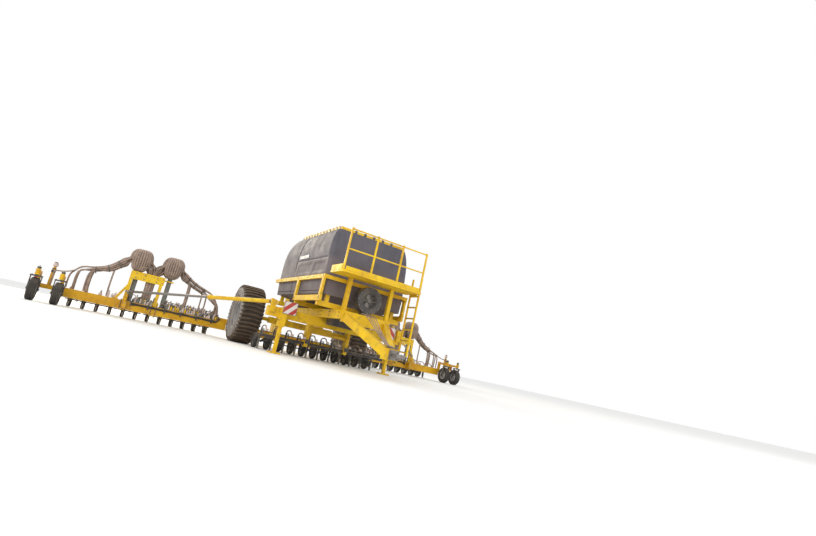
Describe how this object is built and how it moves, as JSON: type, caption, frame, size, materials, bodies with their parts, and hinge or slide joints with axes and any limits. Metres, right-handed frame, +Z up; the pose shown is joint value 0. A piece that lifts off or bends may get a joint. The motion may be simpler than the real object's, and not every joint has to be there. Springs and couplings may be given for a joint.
{
  "type": "trailed seed cart",
  "caption": "Trailed seed cart with a plastic hopper tank, flotation wheels and two folding seeding wings that carry distribution towers, openers, packer gangs and castoring tip wheels.",
  "frame": {"origin": "on the ground, at the middle of the machine's footprint box with the wings spread", "axes": "+Z up; the cart travels towards -Y, so the hitch eye is at -Y and the packer wheels at +Y; +X is the cart's left side and runs along the wings"},
  "size_m": [14.92, 9.2, 3.6553],
  "materials": {
    "frame_yellow": "gloss farm-machine enamel, dusty",
    "tank_plastic": "satin rotomoulded plastic",
    "dark_metal": "satin black",
    "tyre_rubber": "matt, dusty",
    "packer_rubber": "matt, dusty",
    "rim_paint": "satin grey enamel",
    "bare_steel": "worn bright steel",
    "hose_rubber": "satin rubber",
    "board_stripes": "reflective diagonal stripes",
    "lid_plastic": "satin"
  },
  "bodies": {
    "chassis": {"chassis_frame": "frame_yellow", "cross_beam": "frame_yellow", "drawbar": "frame_yellow", "hitch_eye": "bare_steel", "axle_beam": "frame_yellow", "tank_shell": "tank_plastic", "tank_cradle": "frame_yellow", "top_rail": "frame_yellow", "platform": "frame_yellow", "ladder": "frame_yellow", "meter_box_front": "dark_metal", "meter_box_rear": "dark_metal", "fan_housing": "dark_metal", "rear_toolbar": "frame_yellow", "centre_hanger": "frame_yellow", "warning_board_left": "board_stripes", "warning_board_right": "board_stripes"},
    "lid_front": {"tank_lid_front": "lid_plastic"},
    "meter_roller_front": {"meter_roller_front": "bare_steel"},
    "lid_rear": {"tank_lid_rear": "lid_plastic"},
    "meter_roller_rear": {"meter_roller_rear": "bare_steel"},
    "fan_impeller": {"fan_impeller": "bare_steel"},
    "centre_openers": {"centre_opener_frame": "dark_metal"},
    "centre_packer": {"centre_packer": "packer_rubber"},
    "wheel_right": {"tyre_right": "tyre_rubber", "wheel_hub_right": "rim_paint"},
    "support_leg_right": {"support_leg_right": "frame_yellow"},
    "wing_right": {"wing_beam_right": "frame_yellow", "tower_frame_right": "frame_yellow", "tower_1_right": "hose_rubber", "tower_2_right": "hose_rubber", "hose_bundle_outer_right": "hose_rubber", "hose_bundle_inner_right": "hose_rubber"},
    "openers_right": {"opener_frame_right": "dark_metal"},
    "packer_inner_right": {"packer_inner_right": "packer_rubber"},
    "packer_outer_right": {"packer_outer_right": "packer_rubber"},
    "castor_1_right": {"castor_fork_1_right": "dark_metal"},
    "tip_wheel_1_right": {"tip_wheel_1_right": "packer_rubber"},
    "castor_2_right": {"castor_fork_2_right": "dark_metal"},
    "tip_wheel_2_right": {"tip_wheel_2_right": "packer_rubber"},
    "brace_right": {"brace_tube_right": "frame_yellow"},
    "brace_rod_right": {"brace_rod_right": "bare_steel"},
    "wheel_left": {"tyre_left": "tyre_rubber", "wheel_hub_left": "rim_paint"},
    "support_leg_left": {"support_leg_left": "frame_yellow"},
    "wing_left": {"wing_beam_left": "frame_yellow", "tower_frame_left": "frame_yellow", "tower_1_left": "hose_rubber", "tower_2_left": "hose_rubber", "hose_bundle_outer_left": "hose_rubber", "hose_bundle_inner_left": "hose_rubber"},
    "openers_left": {"opener_frame_left": "dark_metal"},
    "packer_inner_left": {"packer_inner_left": "packer_rubber"},
    "packer_outer_left": {"packer_outer_left": "packer_rubber"},
    "castor_1_left": {"castor_fork_1_left": "dark_metal"},
    "tip_wheel_1_left": {"tip_wheel_1_left": "packer_rubber"},
    "castor_2_left": {"castor_fork_2_left": "dark_metal"},
    "tip_wheel_2_left": {"tip_wheel_2_left": "packer_rubber"},
    "brace_left": {"brace_tube_left": "frame_yellow"},
    "brace_rod_left": {"brace_rod_left": "bare_steel"}
  },
  "joints": [
    {"name": "lid_front", "type": "hinge", "parent": "chassis", "child": "lid_front", "pos_m": [0.38, -1.25, 3.5878], "axis": [0, 1, 0], "range_deg": [0, 110]},
    {"name": "meter_roller_front", "type": "hinge", "parent": "chassis", "child": "meter_roller_front", "pos_m": [0, -1.26, 1.21], "axis": [1, 0, 0], "continuous": true},
    {"name": "lid_rear", "type": "hinge", "parent": "chassis", "child": "lid_rear", "pos_m": [0.38, 0, 3.5878], "axis": [0, 1, 0], "range_deg": [0, 110]},
    {"name": "meter_roller_rear", "type": "hinge", "parent": "chassis", "child": "meter_roller_rear", "pos_m": [0, 0.8, 1.21], "axis": [1, 0, 0], "continuous": true},
    {"name": "fan_spin", "type": "hinge", "parent": "chassis", "child": "fan_impeller", "pos_m": [0, -2.36, 1.8], "axis": [0, 1, 0], "continuous": true},
    {"name": "centre_opener_lift", "type": "hinge", "parent": "chassis", "child": "centre_openers", "pos_m": [0, -0.3, 0.4], "axis": [1, 0, 0], "range_deg": [0, 15]},
    {"name": "centre_packer_spin", "type": "hinge", "parent": "centre_openers", "child": "centre_packer", "pos_m": [0, 0.52, 0.22], "axis": [1, 0, 0], "continuous": true},
    {"name": "wheel_spin_right", "type": "hinge", "parent": "chassis", "child": "wheel_right", "pos_m": [-1.86, 2.15, 0.9], "axis": [1, 0, 0], "continuous": true},
    {"name": "support_leg_lift_right", "type": "slide", "parent": "chassis", "child": "support_leg_right", "axis": [0, 0, 1], "range_m": [0, 0.45]},
    {"name": "wing_fold_right", "type": "hinge", "parent": "chassis", "child": "wing_right", "pos_m": [-2.11, 3.3, 0.58], "axis": [0, 1, 0], "range_deg": [0, 90]},
    {"name": "opener_lift_right", "type": "hinge", "parent": "wing_right", "child": "openers_right", "pos_m": [-2.11, 3.56, 0.4], "axis": [1, 0, 0], "range_deg": [0, 20]},
    {"name": "packer_spin_inner_right", "type": "hinge", "parent": "openers_right", "child": "packer_inner_right", "pos_m": [-2.56, 4.38, 0.22], "axis": [1, 0, 0], "continuous": true},
    {"name": "packer_spin_outer_right", "type": "hinge", "parent": "openers_right", "child": "packer_outer_right", "pos_m": [-4.72, 4.38, 0.22], "axis": [1, 0, 0], "continuous": true},
    {"name": "castor_steer_1_right", "type": "hinge", "parent": "wing_right", "child": "castor_1_right", "pos_m": [-7.31, 2.7, 0.7], "axis": [0, 0, 1], "range_deg": [-45, 45]},
    {"name": "tip_wheel_spin_1_right", "type": "hinge", "parent": "castor_1_right", "child": "tip_wheel_1_right", "pos_m": [-7.31, 2.8, 0.31], "axis": [1, 0, 0], "continuous": true},
    {"name": "castor_steer_2_right", "type": "hinge", "parent": "wing_right", "child": "castor_2_right", "pos_m": [-6.76, 2.7, 0.7], "axis": [0, 0, 1], "range_deg": [-45, 45]},
    {"name": "tip_wheel_spin_2_right", "type": "hinge", "parent": "castor_2_right", "child": "tip_wheel_2_right", "pos_m": [-6.76, 2.8, 0.31], "axis": [1, 0, 0], "continuous": true},
    {"name": "brace_swing_right", "type": "hinge", "parent": "chassis", "child": "brace_right", "pos_m": [-1.96, -0.8, 1.3], "axis": [-0.029, 0.9929, -0.1156], "range_deg": [0, 94.63]},
    {"name": "brace_slide_right", "type": "slide", "parent": "brace_right", "child": "brace_rod_right", "axis": [0.6366, -0.7647, 0.1001], "range_m": [0, 0.53079]},
    {"name": "wheel_spin_left", "type": "hinge", "parent": "chassis", "child": "wheel_left", "pos_m": [1.86, 2.15, 0.9], "axis": [1, 0, 0], "continuous": true},
    {"name": "support_leg_lift_left", "type": "slide", "parent": "chassis", "child": "support_leg_left", "axis": [0, 0, 1], "range_m": [0, 0.45]},
    {"name": "wing_fold_left", "type": "hinge", "parent": "chassis", "child": "wing_left", "pos_m": [2.11, 3.3, 0.58], "axis": [0, -1, 0], "range_deg": [0, 90]},
    {"name": "opener_lift_left", "type": "hinge", "parent": "wing_left", "child": "openers_left", "pos_m": [2.11, 3.56, 0.4], "axis": [1, 0, 0], "range_deg": [0, 20]},
    {"name": "packer_spin_inner_left", "type": "hinge", "parent": "openers_left", "child": "packer_inner_left", "pos_m": [2.56, 4.38, 0.22], "axis": [1, 0, 0], "continuous": true},
    {"name": "packer_spin_outer_left", "type": "hinge", "parent": "openers_left", "child": "packer_outer_left", "pos_m": [4.72, 4.38, 0.22], "axis": [1, 0, 0], "continuous": true},
    {"name": "castor_steer_1_left", "type": "hinge", "parent": "wing_left", "child": "castor_1_left", "pos_m": [7.31, 2.7, 0.7], "axis": [0, 0, 1], "range_deg": [-45, 45]},
    {"name": "tip_wheel_spin_1_left", "type": "hinge", "parent": "castor_1_left", "child": "tip_wheel_1_left", "pos_m": [7.31, 2.8, 0.31], "axis": [1, 0, 0], "continuous": true},
    {"name": "castor_steer_2_left", "type": "hinge", "parent": "wing_left", "child": "castor_2_left", "pos_m": [6.76, 2.7, 0.7], "axis": [0, 0, 1], "range_deg": [-45, 45]},
    {"name": "tip_wheel_spin_2_left", "type": "hinge", "parent": "castor_2_left", "child": "tip_wheel_2_left", "pos_m": [6.76, 2.8, 0.31], "axis": [1, 0, 0], "continuous": true},
    {"name": "brace_swing_left", "type": "hinge", "parent": "chassis", "child": "brace_left", "pos_m": [1.96, -0.8, 1.3], "axis": [-0.029, -0.9929, 0.1156], "range_deg": [0, 94.63]},
    {"name": "brace_slide_left", "type": "slide", "parent": "brace_left", "child": "brace_rod_left", "axis": [-0.6366, -0.7647, 0.1001], "range_m": [0, 0.53079]}
  ],
  "couplings": [
    {"joint": "brace_swing_right", "follows": "wing_fold_right", "ratio": 1.0514},
    {"joint": "brace_slide_right", "follows": "wing_fold_right", "m_per_rad": 0.33791},
    {"joint": "brace_swing_left", "follows": "wing_fold_left", "ratio": 1.0514},
    {"joint": "brace_slide_left", "follows": "wing_fold_left", "m_per_rad": 0.33791}
  ]
}
